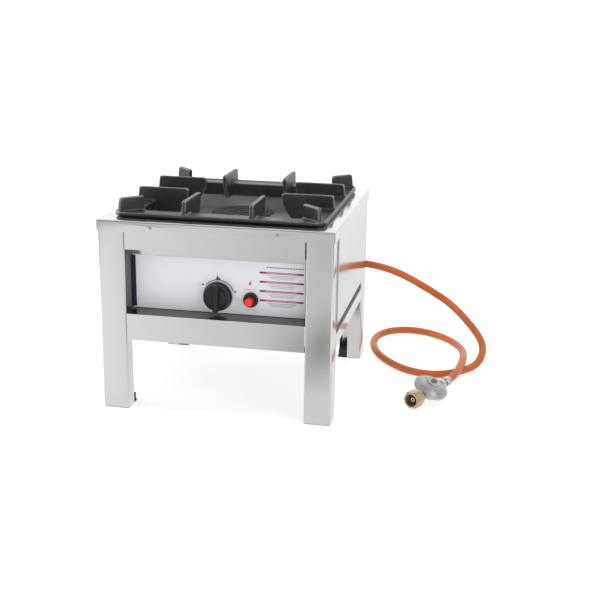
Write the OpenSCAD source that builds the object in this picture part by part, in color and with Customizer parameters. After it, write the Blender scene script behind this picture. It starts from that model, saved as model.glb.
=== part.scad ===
// Free-standing gas boiling stove: a square steel stool with one burner,
// a lift-off cast pan support, a recessed control panel, and a gas hose
// that ends in a pressure regulator. Millimetres, +Z up, the floor at z = 0,
// the front towards -Y, the origin on the floor at the middle of the stool.

/* [Stool] */
// Width and depth of the steel top
top_w = 400; // [396:1:404]
// Height of the steel top above the floor
top_h = 330; // [328:1:340]
// Thickness of the folded sheet of the stool
sheet = 2; // [1.5:0.25:2]
// Outside width of a leg
leg_w = 45.5; // [44:0.5:46]
// Depth of the rim that folds down over the legs
rim_h = 19; // [15:1:22]
// Depth of the front flap between the legs
flap_h = 48; // [44:1:50]
// Height of the bottom edge of the rails
rail_z = 125; // [120:1:130]
// Height of the front rail
rail_h = 45.5; // [42:0.5:46]

/* [Pan support] */
// Outside width of the cast pan support
grate_w = 358; // [350:1:362]
// Height of the rib tops above the steel top
rib_h = 32; // [28:1:36]
// Thickness of a rib
rib_t = 7; // [5:0.5:8]
// Distance of each straight rib from the middle line
rib_offset = 57; // [54:1:60]

/* [Burner] */
// Radius of the burner cap
cap_r = 56; // [52:1:58]
// Height of the burner cap's top above the floor
cap_top = 317; // [316:1:319]

/* [Controls] */
// Sideways place of the gas knob
tap_x = -3; // [-5:0.5:-1]
// Diameter of the gas knob
knob_d = 50; // [44:1:52]
// How far the knob is pushed in to light the burner
knob_travel = 4; // [3:0.5:4]
// Sideways place of the igniter button
igniter_x = 53; // [52:1:58]
// How far the igniter button is pushed in
igniter_travel = 6; // [4:0.5:6]

/* [Gas hose] */
// Outside diameter of the hose
hose_d = 14; // [12:0.5:14]
// Width across the flats of the union nut
nut_flats = 28; // [27:1:30]

/* [Hidden] */
$fn = 64;

half = top_w / 2;
leg_out = half - sheet;
leg_in = leg_out - leg_w;
leg_mid = leg_out - leg_w / 2;
leg_lip = 26;
leg_base = 1;
flap_half = leg_in - 1;
fold_r = 3;
panel_edge = leg_in + 2.5;
panel_drop = 165;

foot_h = 16;
foot_rib = 2.6;
foot_pitch = 4.6;

// Cut-out of the steel top, which the drip tray hangs in
well_half = 150;
well_r = 14;
tray_t = 1;
tray_floor = 286;
tray_hole_r = 50;

// Pan support
border_top = top_h + 8;
hole_half = 144;
skirt_h = 24;
rib_top = top_h + rib_h;
rib_out = 173;
rib_in = 83;
rib_low = 316;
plate_out = 169;
plate_in = 138;

// Control panel and what is on it
panel_y = -158;
panel_t = 1.5;
panel_back = panel_y + panel_t;
label_t = 0.5;
label_y = panel_y - label_t;
control_z = 201.5;
igniter_z = 198;
knob_back = label_y - 5;
knob_front = label_y - 23;
spindle_r = 4;
plug_r = 7;
run_gap = 0.05;
igniter_front = label_y - 6.5;
button_r = 6.9;
button_back = panel_y + 12;

// Gas line
inlet_x = 130;
inlet_z = 177;
pipe_r = 5;
valve_in_y = -144;
valve_foot_z = control_z - 17.5;
burner_r = 46;
tube_r = 16;
bracket_z = 255;
bracket_screw_x = 24;
sensor_x = 24;
sensor_y = -60;

// Regulator, lying rolled over on the rim of its disc
reg_pos = [349, -44, 19];
reg_heading = 64;
reg_roll = 24;
reg_top = 22.5;
hose_end_x = 37.7;
boss_x = -31;

// Route of the gas hose: guide points of one smooth curve, from the elbow
// behind the stool, down to the floor, once round and over itself to the regulator
hose_r = hose_d / 2;
hose_guide = [
    [150, 222, 177], [186, 222, 177], [226, 222, 172], [268, 221, 160],
    [318, 219, 134], [367, 212, 109], [402, 215, 72], [426, 201, 49],
    [438, 173, 31], [428, 141, 8], [396, 104, 7.5], [365, 76, 7.5],
    [326, 73, 7.5], [288, 92, 7.5], [254, 130, 7.5], [228, 175, 7.5],
    [213, 227, 7.5], [212, 274, 7.5], [226, 312, 7.5], [254, 336, 7.5],
    [290, 341, 7.5], [326, 326, 7.5], [360, 296, 8], [386, 252, 9],
    [398, 196, 14], [399, 142, 21], [398, 100, 23.5], [394, 68, 23.5],
    [388, 40, 21], [378, 15, 19], [366, -10, 19]
];
hose_steps = 2;

// ---------------------------------------------------------------- helpers

module rounded(hx, hy, r) {
    square([2 * hx, 2 * (hy - r)], center = true);
    square([2 * (hx - r), 2 * hy], center = true);
    for (sx = [-1, 1], sy = [-1, 1])
        translate([sx * (hx - r), sy * (hy - r)])
            circle(r);
}

module frame_2d(hx, hy, r, t) {
    difference() {
        rounded(hx, hy, r);
        rounded(hx - t, hy - t, r - t);
    }
}

module along_x(r, x0, x1) {
    translate([x0, 0, 0])
        rotate([0, 90, 0])
            cylinder(h = x1 - x0, r = r);
}

module along_y(r, y0, y1) {
    translate([0, y0, 0])
        rotate([-90, 0, 0])
            cylinder(h = y1 - y0, r = r);
}

module hex_x(flats, x0, x1) {
    translate([x0, 0, 0])
        rotate([0, 90, 0])
            cylinder(h = x1 - x0, r = flats / sqrt(3), $fn = 6);
}

module hex_y(flats, y0, y1) {
    translate([0, y0, 0])
        rotate([-90, 0, 0])
            cylinder(h = y1 - y0, r = flats / sqrt(3), $fn = 6);
}

// A domed screw head on its shank, the head up and its underside at z = 0
module screw(head_r, head_h, shank_r, shank_l) {
    rotate_extrude() {
        square([head_r, head_h * 0.4]);
        intersection() {
            square([head_r, head_h]);
            translate([0, head_h - 2 * head_r])
                circle(2 * head_r);
        }
    }
    translate([0, 0, -shank_l])
        cylinder(h = shank_l, r = shank_r);
}

function unit(v) = v / norm(v);

// One smooth cubic curve guided by a list of points, which starts and ends on them
function guide_at(g, i) =
    i < 0 ? 2 * g[0] - g[1] :
    i >= len(g) ? 2 * g[len(g) - 1] - g[len(g) - 2] : g[i];
function curve_at(g, i, t) =
    (pow(1 - t, 3) * guide_at(g, i - 1)
    + (3 * pow(t, 3) - 6 * pow(t, 2) + 4) * guide_at(g, i)
    + (-3 * pow(t, 3) + 3 * pow(t, 2) + 3 * t + 1) * guide_at(g, i + 1)
    + pow(t, 3) * guide_at(g, i + 2)) / 6;
function curve(g, steps) = [
    for (i = [0 : len(g) - 2], k = [0 : steps - 1]) curve_at(g, i, k / steps),
    g[len(g) - 1]
];

// A tube swept along a path: side_at holds a direction that stays square to the path
function tangent(p, i) = unit(p[min(i + 1, len(p) - 1)] - p[max(i - 1, 0)]);
function square_to(v, t) = unit(v - (v * t) * t);
function side_list(p, v, i = 0) =
    i >= len(p) ? [] :
    let (s = square_to(v, tangent(p, i)))
    concat([s], side_list(p, s, i + 1));

module swept_tube(p, r, sides, first_side) {
    n = len(p);
    side = side_list(p, first_side);
    points = [
        for (i = [0 : n - 1], k = [0 : sides - 1])
            let (a = 360 * k / sides, t = tangent(p, i), s = side[i])
            p[i] + r * (cos(a) * s + sin(a) * cross(t, s))
    ];
    walls = [
        for (i = [0 : n - 2], k = [0 : sides - 1])
            let (k2 = (k + 1) % sides)
            [i * sides + k, (i + 1) * sides + k, (i + 1) * sides + k2, i * sides + k2]
    ];
    start_cap = [for (k = [0 : sides - 1]) k];
    end_cap = [for (k = [sides - 1 : -1 : 0]) (n - 1) * sides + k];
    polyhedron(points, concat([start_cap], walls, [end_cap]), convexity = 12);
}

// A thin lead along a smooth curve
module lead(guide, r) {
    swept_tube(curve(guide, 3), r, 8, [1, 0, 0.2]);
}

// The regulator's own frame: X along its ports, Z square to its disc
module in_regulator() {
    translate(reg_pos)
        rotate([0, 0, reg_heading])
            rotate([reg_roll, 0, 0])
                children();
}

// ---------------------------------------------------------------- stool frame

// One leg: a folded square channel whose inner corner is open
module leg(turn) {
    color("gainsboro")
    rotate([0, 0, turn])
    translate([leg_mid, leg_mid, leg_base])
    linear_extrude(top_h - fold_r - leg_base)
    difference() {
        frame_2d(leg_w / 2, leg_w / 2, fold_r, sheet);
        translate([-leg_w / 2 - 1, -leg_w / 2 - 1])
            square(leg_w - leg_lip + 1);
    }
}

module front_left_leg() leg(180);
module front_right_leg() leg(270);
module back_left_leg() leg(90);
module back_right_leg() leg(0);

// One foot: a ribbed plug pushed into the bottom of a leg
module foot(turn) {
    plug = leg_w / 2 - sheet - 0.3;
    color("dimgray")
    rotate([0, 0, turn])
    translate([leg_mid, leg_mid, 0]) {
        linear_extrude(leg_base)
            rounded(leg_w / 2 - 1, leg_w / 2 - 1, 2);
        translate([0, 0, leg_base])
            linear_extrude(foot_h - leg_base)
                rounded(plug - 3, plug - 3, 1);
        for (i = [0 : 2])
            translate([0, 0, leg_base + 1 + i * foot_pitch])
                linear_extrude(foot_rib)
                    rounded(plug, plug, 1);
    }
}

module front_left_foot() foot(180);
module front_right_foot() foot(270);
module back_left_foot() foot(90);
module back_right_foot() foot(0);

// The front rail: a folded channel whose top flange is the floor of the control recess
module front_rail() {
    length = 2 * leg_in - 0.4;
    color("gainsboro")
    translate([-length / 2, -leg_out, rail_z]) {
        cube([length, sheet, rail_h]);
        translate([0, 0, rail_h - sheet])
            cube([length, leg_out + panel_back, sheet]);
        cube([length, leg_lip, sheet]);
    }
}

// A narrow rail for the sides and the back
module narrow_rail(turn) {
    length = 2 * leg_in - 0.4;
    face = rail_h - 24;
    flange = 20;
    color("gainsboro")
    rotate([0, 0, turn])
    translate([-length / 2, -leg_out, rail_z + 0.5]) {
        cube([length, sheet, face]);
        for (z = [0, face - sheet])
            translate([0, 0, z])
                cube([length, flange, sheet]);
    }
}

module left_rail() narrow_rail(270);
module right_rail() narrow_rail(90);
module back_rail() narrow_rail(180);

// Side view of the folded top: flat, with round folds at both edges
module fold_profile(h, r, top, drop) {
    translate([-h, top - drop])
        square([2 * h, drop - r]);
    translate([-h + r, top - drop])
        square([2 * h - 2 * r, drop]);
    for (s = [-1, 1])
        translate([s * (h - r), top - r])
            circle(r);
}

module folded_block(h, r, top, drop) {
    intersection() {
        translate([0, h, 0])
            rotate([90, 0, 0])
                linear_extrude(2 * h)
                    fold_profile(h, r, top, drop);
        translate([-h, 0, 0])
            rotate([90, 0, 90])
                linear_extrude(2 * h)
                    fold_profile(h, r, top, drop);
        translate([0, 0, top - drop])
            linear_extrude(drop)
                rounded(h, h, r);
    }
}

module top_screw_places(y) {
    for (s = [-1, 1])
        translate([s * 106.5, y, top_h - 10])
            children();
}

// The steel top: folded down over the legs, with a deeper flap at the front
module top_plate() {
    color("silver")
    difference() {
        union() {
            difference() {
                folded_block(half, fold_r, top_h, flap_h);
                folded_block(half - sheet, fold_r - sheet, top_h - sheet, flap_h);
                translate([-half - 1, -half + sheet, top_h - flap_h - 1])
                    cube([top_w + 2, top_w, flap_h - rim_h + 1]);
                for (x = [-half - 1, flap_half])
                    translate([x, -half - 1, top_h - flap_h - 1])
                        cube([half + 1 - flap_half, sheet + 2, flap_h - rim_h + 1]);
            }
            for (s = [-1, 1])
                translate([s * (flap_half - sheet / 2) - sheet / 2, -half + sheet, top_h - flap_h])
                    cube([sheet, 10, flap_h - rim_h]);
        }
        translate([0, 0, top_h - sheet - 1])
            linear_extrude(sheet + 2)
                rounded(well_half, well_half, well_r);
        for (turn = [0, 90, 180])
            rotate([0, 0, turn])
                translate([half - sheet - 1, -panel_edge - 0.2, top_h - flap_h])
                    cube([sheet + 2, 2 * panel_edge + 0.4, flap_h - fold_r]);
        top_screw_places(-half - 1)
            along_y(2.1, 0, sheet + 2);
    }
}

// A flat side sheet with a flange along its bottom edge
module side_sheet(turn) {
    rotate([0, 0, turn])
    translate([-panel_edge, -half, panel_drop]) {
        cube([2 * panel_edge, sheet, top_h - fold_r - 0.1 - panel_drop]);
        translate([0, sheet, 0])
            translate([3, 0, 0])
                cube([2 * panel_edge - 6, 10, sheet]);
    }
}

module left_side_panel() {
    color("gainsboro")
        side_sheet(270);
}

module right_side_panel() {
    color("gainsboro")
        side_sheet(90);
}

module back_panel() {
    color("gainsboro")
    difference() {
        side_sheet(180);
        translate([inlet_x, 0, inlet_z])
            along_y(11.1, half - sheet - 1, half + 1);
        top_screw_places(half - sheet - 1)
            along_y(2.1, 0, sheet + 2);
    }
}

module top_screws() {
    color("silver") {
        top_screw_places(-half)
            rotate([90, 0, 0])
                screw(3.2, 1.6, 2, 7);
        top_screw_places(half)
            rotate([-90, 0, 0])
                screw(3.2, 1.6, 2, 7);
    }
}

// ---------------------------------------------------------------- top and burner well

// The steel drip tray: hangs under the top, with holes for the burner and its sensors
module drip_tray() {
    wall = well_half - 1;
    color("silver")
    difference() {
        union() {
            translate([0, 0, top_h - sheet - tray_t])
                linear_extrude(tray_t)
                    rounded(wall + 5, wall + 5, well_r + 10);
            translate([0, 0, tray_floor])
                linear_extrude(top_h - sheet - tray_floor)
                    rounded(wall, wall, well_r - 1);
        }
        translate([0, 0, tray_floor + tray_t])
            linear_extrude(top_h - tray_floor)
                rounded(wall - tray_t, wall - tray_t, well_r - 2);
        translate([0, 0, tray_floor - 1])
            cylinder(h = 4, r = tray_hole_r);
        for (s = [-1, 1])
            translate([s * sensor_x, sensor_y - 4, tray_floor - 1])
                cylinder(h = 4, r = 6);
    }
    color("silver")
    translate([0, 0, tray_floor])
        rotate_extrude()
            translate([tray_hole_r, 0])
                square([tray_t, 6]);
}

// Side view of a straight rib: finger, web that hangs into the opening, flared foot
module rib_profile() {
    polygon([
        [rib_in, rib_top - 3], [rib_in + 3, rib_top],
        [rib_out - 2, rib_top], [rib_out, rib_top - 2],
        [rib_out + 2, border_top + 4], [rib_out + 4, border_top - 1],
        [hole_half + 2, border_top - 1], [hole_half + 2, rib_low + 6],
        [hole_half - 12, rib_low + 1], [rib_in + 26, rib_low], [rib_in + 17, rib_low + 3],
        [rib_in + 10, rib_low + 12], [rib_in + 2, rib_low + 26]
    ]);
}

// Side view of a corner rib, along the diagonal
module corner_profile() {
    inner = plate_in * sqrt(2);
    outer = plate_out * sqrt(2);
    polygon([
        [inner - 4, border_top - 1], [inner, border_top + 5], [inner, rib_top - 2], [inner + 2, rib_top],
        [outer - 3, rib_top], [outer, rib_top - 3], [outer + 2, border_top + 4], [outer + 3, border_top - 1]
    ]);
}

// The cast-iron pan support: flat border, eight straight ribs and four corner ribs
module pan_support() {
    lip_w = 5;
    undercut = 2.5;
    edge = grate_w / 2;
    color("dimgray") {
        difference() {
            union() {
                translate([0, 0, top_h])
                    linear_extrude(border_top - top_h)
                        rounded(edge - 3, edge - 3, 19);
                translate([0, 0, top_h + undercut])
                    linear_extrude(border_top - top_h - undercut)
                        rounded(edge, edge, 22);
                translate([0, 0, border_top])
                    linear_extrude(1.5)
                        frame_2d(edge, edge, 22, lip_w);
                translate([0, 0, border_top - skirt_h])
                    linear_extrude(skirt_h)
                        rounded(hole_half + 3.4, hole_half + 3.4, 23.4);
            }
            translate([0, 0, border_top - skirt_h - 1])
                linear_extrude(skirt_h + 4)
                    rounded(hole_half, hole_half, 20);
        }
        for (turn = [0, 180], s = [-1, 1])
            rotate([0, 0, turn]) {
                translate([0, s * rib_offset + rib_t / 2, 0])
                    rotate([90, 0, 0])
                        linear_extrude(rib_t)
                            rib_profile();
                translate([s * rib_offset - rib_t / 2, 0, 0])
                    rotate([90, 0, 90])
                        linear_extrude(rib_t)
                            rib_profile();
            }
        for (turn = [45 : 90 : 315])
            rotate([0, 0, turn])
                translate([0, rib_t / 2, 0])
                    rotate([90, 0, 0])
                        linear_extrude(rib_t)
                            corner_profile();
    }
}

// The cast burner: mixing tube, elbow and bowl
module burner_body() {
    mouth = -96;
    color("dimgray")
    difference() {
        union() {
            translate([tap_x, 0, control_z]) {
                along_y(tube_r, mouth, 0);
                along_y(tube_r + 4, mouth, mouth + 6);
            }
            for (x = [tap_x, 0])
                translate([x, 0, control_z])
                    sphere(tube_r);
            translate([0, 0, control_z])
                cylinder(h = bracket_z + 3 - control_z, r = tube_r);
            translate([0, 0, bracket_z + 3])
                cylinder(h = 4, r = bracket_screw_x + 5);
            translate([0, 0, bracket_z + 3])
                rotate_extrude()
                    polygon([[0, 0], [tube_r + 3, 0], [tube_r + 3, 6], [burner_r, 36], [burner_r, 48], [0, 48]]);
        }
        translate([tap_x, 0, control_z])
            along_y(tube_r - 4, mouth - 1, 0);
        for (x = [tap_x, 0])
            translate([x, 0, control_z])
                sphere(tube_r - 4);
        translate([0, 0, control_z])
            cylinder(h = bracket_z + 6 - control_z, r = tube_r - 4);
        translate([0, 0, bracket_z + 3])
            rotate_extrude()
                polygon([[0, 2], [tube_r - 4, 2], [burner_r - 4, 38], [burner_r - 4, 49], [0, 49]]);
        for (s = [-1, 1])
            translate([s * bracket_screw_x, 0, bracket_z + 2])
                cylinder(h = 6, r = 2.1);
    }
}

// The ring that spaces the cap off the burner, with slots for the flame
module burner_ring() {
    base = bracket_z + 51;
    color("dimgray")
    difference() {
        translate([0, 0, base])
            rotate_extrude()
                polygon([[38, 0], [burner_r + 3, 0], [burner_r + 3, 4.8], [38, 4.8]]);
        for (a = [0 : 15 : 345])
            rotate([0, 0, a])
                translate([36, -1.2, base + 1.5])
                    cube([16, 2.4, 5]);
    }
}

// The loose cap that spreads the flame
module burner_cap() {
    base = bracket_z + 56;
    color("dimgray")
    translate([0, 0, base])
        rotate_extrude()
            polygon([
                [0, 0.5], [30, 0.5], [30, -3], [36, -3], [36, 0], [cap_r - 3, 0], [cap_r, 2],
                [cap_r - 1, 3.4], [40, cap_top - base - 0.6], [0, cap_top - base]
            ]);
}

module burner_bracket() {
    color("gainsboro")
    difference() {
        union() {
            translate([-leg_out, -30, bracket_z])
                cube([2 * leg_out, 60, 3]);
            for (x = [-leg_out, leg_out - 3])
                translate([x, -30, bracket_z])
                    cube([3, 60, 20]);
        }
        translate([0, 0, bracket_z - 1])
            cylinder(h = 5, r = tube_r + 0.2);
        for (s = [-1, 1])
            translate([s * bracket_screw_x, 0, bracket_z - 1])
                cylinder(h = 5, r = 2.1);
    }
}

module bracket_screws() {
    color("silver")
    for (s = [-1, 1])
        translate([s * bracket_screw_x, 0, bracket_z + 7])
            screw(3.6, 2.6, 2, 12);
}

// The brass jet that blows gas into the mixing tube
module injector() {
    color("goldenrod")
    translate([tap_x, 0, control_z])
    difference() {
        union() {
            hex_y(12, -120, -114);
            along_y(5, -114, -101);
            along_y(2.5, -101, -96);
        }
        along_y(1, -121, -95);
    }
}

module air_shutter() {
    color("silver")
    translate([tap_x, 0, control_z])
    difference() {
        along_y(19, -108, -106.5);
        along_y(5.05, -109, -105);
        for (s = [-1, 1])
            translate([s * 13, 0, 0])
                along_y(2.5, -109, -105);
    }
}

// ---------------------------------------------------------------- controls

module knob_hole() {
    translate([tap_x, 0, control_z])
        along_y(5.5, panel_y - 2, panel_back + 1);
}

module igniter_hole() {
    translate([igniter_x, 0, igniter_z])
        along_y(9.1, panel_y - 2, panel_back + 1);
}

module valve_screw_places(y) {
    for (s = [-1, 1])
        translate([tap_x + s * 10, y, control_z])
            children();
}

module panel_screw_places(y) {
    for (sx = [-1, 1], z = [190, 285])
        translate([sx * 180, y, z])
            children();
}

module control_panel() {
    panel_half = 188;
    panel_bottom = rail_z + rail_h;
    panel_top = 300;
    color("gainsboro")
    difference() {
        union() {
            translate([-panel_half, panel_y, panel_bottom])
                cube([2 * panel_half, panel_t, panel_top - panel_bottom]);
            translate([-flap_half, panel_y, panel_top - sheet])
                cube([2 * flap_half, 7, sheet]);
            for (x = [-panel_half, panel_half - 14])
                translate([x, panel_y, panel_bottom])
                    cube([14, -leg_in - sheet - panel_y, panel_top - panel_bottom]);
        }
        knob_hole();
        igniter_hole();
        valve_screw_places(panel_y - 1)
            along_y(2.1, 0, 4);
        panel_screw_places(panel_y - 1)
            along_y(2.1, 0, 8);
    }
}

module fascia_label() {
    color("whitesmoke")
    difference() {
        translate([-165, label_y, 171.5])
            cube([330, label_t, 93]);
        knob_hole();
        igniter_hole();
        valve_screw_places(label_y - 1)
            along_y(4.2, 0, 3);
    }
}

module panel_screws() {
    color("silver")
    panel_screw_places(panel_y)
        rotate([90, 0, 0])
            screw(3.6, 2.2, 2, 3);
}

module valve_screws() {
    color("silver")
    valve_screw_places(panel_y)
        rotate([90, 0, 0])
            screw(3.4, 2.2, 2, 1.4);
}

// The gas tap: the plug turns in its bore, gas comes in below and leaves behind
module gas_valve() {
    color("goldenrod")
    translate([tap_x, 0, 0])
    difference() {
        union() {
            translate([-14, panel_back, control_z - 13])
                cube([28, 28, 26]);
            translate([0, valve_in_y, valve_foot_z])
                cylinder(h = 5.5, r = pipe_r);
            translate([0, 0, control_z])
                along_y(8, panel_back + 27, -120);
            translate([0, panel_back + 14, control_z + 6])
                along_x(4, 13, 19);
        }
        translate([0, 0, control_z])
            along_y(plug_r, panel_back - 1, panel_back + 21);
        translate([0, 0, control_z])
            along_y(1.5, panel_back + 20, -119);
        translate([0, valve_in_y, valve_foot_z - 1])
            cylinder(h = 14, r = 3);
    }
}

module valve_plug() {
    color("goldenrod")
    translate([tap_x, 0, control_z])
    difference() {
        along_y(plug_r - run_gap, panel_back + 0.3, panel_back + 20);
        along_y(spindle_r + run_gap, panel_back - 1, panel_back + 17);
    }
}

module valve_spindle() {
    color("silver")
    translate([tap_x, 0, control_z])
        along_y(spindle_r, knob_back - 10, panel_back + 17 - knob_travel - 0.8);
}

// The gas knob: a round hollow skirt with a grip bar across its face
module gas_knob() {
    r = knob_d / 2;
    face = knob_front + 4;
    color([0.13, 0.13, 0.14])
    translate([tap_x, 0, control_z])
    difference() {
        union() {
            rotate([90, 0, 0])
                rotate_extrude()
                    polygon([
                        [0, -knob_back], [r, -knob_back], [r, 3 - knob_back],
                        [r - 1.2, 3.8 - knob_back], [r - 2, -face - 1.5], [r - 3.5, -face], [0, -face]
                    ]);
            intersection() {
                translate([-5.5, knob_front, -r + 1.5])
                    cube([11, 12, 2 * r - 3]);
                along_y(r - 1.5, knob_front, face + 2);
            }
        }
        along_y(r - 6, knob_back - 4, knob_back + 1);
        along_y(spindle_r, knob_back - 10, knob_back + 1);
    }
}

module igniter_housing() {
    color([0.1, 0.1, 0.1])
    translate([igniter_x, 0, igniter_z])
    difference() {
        union() {
            rotate([90, 0, 0])
                rotate_extrude()
                    polygon([[0, -label_y], [13, -label_y], [13, 3 - label_y], [12, -igniter_front],
                             [0, -igniter_front]]);
            along_y(9, label_y, -122);
            along_y(3.5, -122, -114);
        }
        along_y(button_r + run_gap, igniter_front - 1, button_back + igniter_travel + 2);
    }
}

module igniter_nut() {
    color("silver")
    translate([igniter_x, 0, igniter_z])
    difference() {
        hex_y(24, panel_back, panel_back + 5);
        along_y(9.05, panel_back - 1, panel_back + 6);
    }
}

module igniter_button() {
    front = -igniter_front + 13.5;
    color("red")
    translate([igniter_x, 0, igniter_z])
        rotate([90, 0, 0])
            rotate_extrude()
                polygon([
                    [0, -button_back], [button_r, -button_back], [button_r, front - 1.5],
                    [button_r - 1.5, front], [0, front]
                ]);
}

// ---------------------------------------------------------------- ignition and flame guard

module spark_electrode() {
    color("white")
    translate([-sensor_x, sensor_y - 4, 0]) {
        translate([0, 0, 262])
            cylinder(h = 38, r = 3.5);
        translate([0, 0, 300])
            cylinder(h = 9, r = 1);
    }
}

module thermocouple() {
    color("peru")
    translate([sensor_x, sensor_y - 4, 0]) {
        translate([0, 0, 262])
            cylinder(h = 22, r = 3.5);
        translate([0, 0, 284])
            cylinder(h = 24, r = 2);
        translate([0, 0, 308])
            sphere(2);
    }
}

module sensor_bracket() {
    plate_z = 270;
    color("gainsboro") {
        difference() {
            translate([-34, sensor_y - 14, plate_z])
                cube([68, 20, 2]);
            for (s = [-1, 1])
                translate([s * sensor_x, sensor_y - 4, plate_z - 1])
                    cylinder(h = 4, r = 3.55);
        }
        translate([-34, sensor_y - 16, plate_z])
            cube([68, 2, tray_floor - plate_z]);
    }
}

module ignition_lead() {
    color("black")
    lead([
        [igniter_x, -114, igniter_z], [igniter_x, -106, igniter_z], [52, -99, 216], [40, -94, 236],
        [8, -84, 243], [-20, -70, 243], [-sensor_x, sensor_y - 4, 252], [-sensor_x, sensor_y - 4, 262]
    ], 1.8);
}

module thermocouple_lead() {
    y0 = panel_back + 14;
    z0 = control_z + 6;
    color("peru")
    lead([
        [tap_x + 19, y0, z0], [tap_x + 25, y0, z0], [30, -136, 218], [31, -118, 238],
        [26, -84, 247], [sensor_x, sensor_y - 6, 252], [sensor_x, sensor_y - 4, 262]
    ], 1.3);
}

// ---------------------------------------------------------------- gas line

module inlet_bushing() {
    color("goldenrod")
    translate([inlet_x, 0, inlet_z])
    difference() {
        union() {
            along_y(11, half - sheet, half);
            hex_y(19, half - sheet - 8, half - sheet);
            along_y(8, half - 22, half - sheet - 8);
        }
        along_y(pipe_r + 0.05, half - 23, half - 16);
        along_y(6, half - 16.1, half + 1);
    }
}

// The copper pipe from the inlet to the tap, with two round bends
module inlet_pipe() {
    bend = 15;
    rise = valve_foot_z - inlet_z;
    color("peru")
    translate([0, 0, inlet_z]) {
        translate([inlet_x, 0, 0])
            along_y(pipe_r, valve_in_y + bend, half - 16);
        translate([inlet_x - bend, valve_in_y + bend, 0])
            rotate([0, 0, 270])
                rotate_extrude(angle = 90)
                    translate([bend, 0])
                        circle(pipe_r);
        translate([0, valve_in_y, 0]) {
            along_x(pipe_r, tap_x + rise, inlet_x - bend);
            translate([tap_x + rise, 0, rise])
                rotate([-90, 90, 0])
                    rotate_extrude(angle = 90)
                        translate([rise, 0])
                            circle(pipe_r);
        }
    }
}

module pipe_nuts() {
    color("goldenrod") {
        translate([tap_x, valve_in_y, valve_foot_z])
            difference() {
                cylinder(h = 4.5, r = 9, $fn = 6);
                translate([0, 0, -1])
                    cylinder(h = 7, r = pipe_r + 0.05);
            }
        translate([inlet_x, 0, inlet_z])
            difference() {
                hex_y(17, half - 34, half - 22);
                along_y(pipe_r + 0.05, half - 35, half - 21);
            }
    }
}

// The brass elbow that turns from the back sheet to the hose
module inlet_elbow() {
    bend = 13;
    y = hose_guide[0][1];
    color("goldenrod")
    translate([inlet_x, 0, inlet_z]) {
        along_y(5.9, half - 10, half);
        hex_y(22, half, half + 9);
        translate([bend, y - bend, 0])
            rotate([0, 0, 90])
                rotate_extrude(angle = 90)
                    translate([bend, 0])
                        circle(7.5);
        translate([0, y, 0])
            along_x(7.5, bend, hose_guide[0][0] - inlet_x);
    }
}

module inlet_ferrule() {
    translate([hose_guide[0][0], hose_guide[0][1], hose_guide[0][2]])
        color("silver")
            difference() {
                along_x(9, 3, 21);
                along_x(hose_r + 0.3, 2, 22);
            }
}

module gas_hose() {
    color("chocolate")
        swept_tube(curve(hose_guide, hose_steps), hose_r, 10, [0, 0, 1]);
}

module outlet_ferrule() {
    color("silver")
    in_regulator()
        difference() {
            union() {
                along_x(8.4, hose_end_x + 0.5, hose_end_x + 17);
                along_x(9.2, hose_end_x + 16, hose_end_x + 29);
            }
            along_x(hose_r + 0.7, hose_end_x, hose_end_x + 30);
        }
}

// ---------------------------------------------------------------- regulator

module regulator_body() {
    color("silver")
    in_regulator()
    difference() {
        union() {
            rotate_extrude()
                polygon([[0, -10], [13, -10], [15, -8], [17, -3], [29.5, 3], [30.5, 4], [30.5, 8], [0, 8]]);
            along_x(8, boss_x, 24);
            along_x(6.5, 24, hose_end_x);
        }
        translate([0, 0, 4])
            cylinder(h = 5, r = 22);
    }
}

module regulator_diaphragm() {
    color("dimgray")
    in_regulator()
        translate([0, 0, 8])
            cylinder(h = 0.8, r = 27);
}

module regulator_spring() {
    turns = 4;
    coil_r = 6;
    wire_r = 0.7;
    low = 8.8 + wire_r;
    pitch = 1.5;
    path = [
        for (a = [0 : 30 : 360 * turns])
            [coil_r * cos(a), coil_r * sin(a), low + 0.02 + pitch * a / 360]
    ];
    color("silver")
    in_regulator()
        swept_tube(path, wire_r, 6, [0, 0, 1]);
}

// The crimped cover: a shallow cone with a flat middle
module regulator_cover() {
    color("silver")
    in_regulator()
    difference() {
        rotate_extrude()
            polygon([
                [0, 8], [30.5, 8], [31, 9], [30.5, 10.5], [28, 11.6],
                [21, 15.5], [13.5, 21], [12.5, reg_top], [0, reg_top]
            ]);
        rotate_extrude()
            polygon([[0, 7], [27.05, 7], [27.05, 9], [25, 10.2], [12, 16], [0, 16.6]]);
    }
}

module regulator_badge() {
    color("darkslategray")
    in_regulator()
        translate([0, 0, reg_top])
            cylinder(h = 0.5, r = 8.5);
}

// The brass nipple that the union nut holds against the cylinder's valve
module inlet_nipple() {
    color("goldenrod")
    in_regulator()
    difference() {
        union() {
            along_x(6.4, -45, boss_x);
            along_x(9, -48, -45);
            along_x(4, -55, -48);
        }
        along_x(1.5, -56, -40);
    }
}

module nipple_seal() {
    color([0.1, 0.1, 0.1])
    in_regulator()
    difference() {
        along_x(8.4, -50, -48);
        along_x(4, -51, -47);
    }
}

module union_nut() {
    color("goldenrod")
    in_regulator()
    difference() {
        intersection() {
            hex_x(nut_flats, -61, -38);
            rotate([0, -90, 0])
                rotate_extrude()
                    polygon([[0, 38], [14, 38], [nut_flats / sqrt(3) + 0.2, 41],
                             [nut_flats / sqrt(3) + 0.2, 58], [14, 61], [0, 61]]);
        }
        along_x(6.4 + run_gap, -62, -37);
        along_x(10.9, -62, -44.6);
    }
}

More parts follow.
